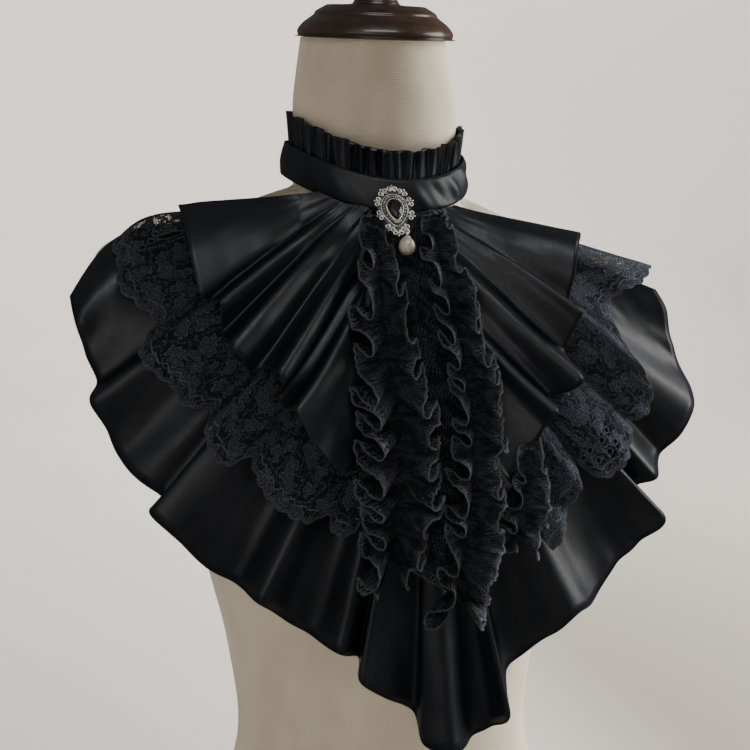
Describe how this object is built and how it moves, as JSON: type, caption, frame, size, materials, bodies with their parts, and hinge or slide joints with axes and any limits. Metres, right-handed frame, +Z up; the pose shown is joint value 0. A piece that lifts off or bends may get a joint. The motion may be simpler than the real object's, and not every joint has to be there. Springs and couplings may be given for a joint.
{
  "type": "ruffled jabot collar on a dress form",
  "caption": "Black satin and lace jabot with a frilled stand collar and a drop brooch, on a limbless dress form with a turned neck cap.",
  "frame": {"origin": "middle of the dress form's flat underside", "axes": "+Z up; the wearer faces -Y, so the wearer's left is +X"},
  "size_m": [0.4103, 0.2728, 0.7341],
  "materials": {
    "linen": "unbleached linen weave, matte",
    "wood": "dark brown lacquered turned wood",
    "satin": "black satin with a soft grey-brown sheen",
    "lace": "black embroidered lace, matte",
    "silver": "silver-plated filigree, slightly aged",
    "stone": "opaque black faceted glass stone",
    "pearl": "cream imitation pearl, soft lustre"
  },
  "bodies": {
    "root": {"form_torso": "linen", "form_neck_cap": "wood", "base_flounce": "satin", "lace_tier_right": "lace", "lace_tier_left": "lace", "satin_tier_right": "satin", "satin_tier_left": "satin", "front_panel": "lace", "ruffle_right": "lace", "ruffle_left": "lace", "ruffle_side": "lace", "collar_band": "satin", "collar_frill": "satin", "collar_tab": "satin", "brooch_setting": "silver", "brooch_stone": "stone"},
    "pearl_drop": {"brooch_pearl": "pearl"}
  },
  "joints": [
    {"name": "pearl_swing", "type": "hinge", "parent": "root", "child": "pearl_drop", "pos_m": [-0.0021, -0.08442, 0.5545], "axis": [0, 1, 0], "range_deg": [-15, 15]}
  ]
}
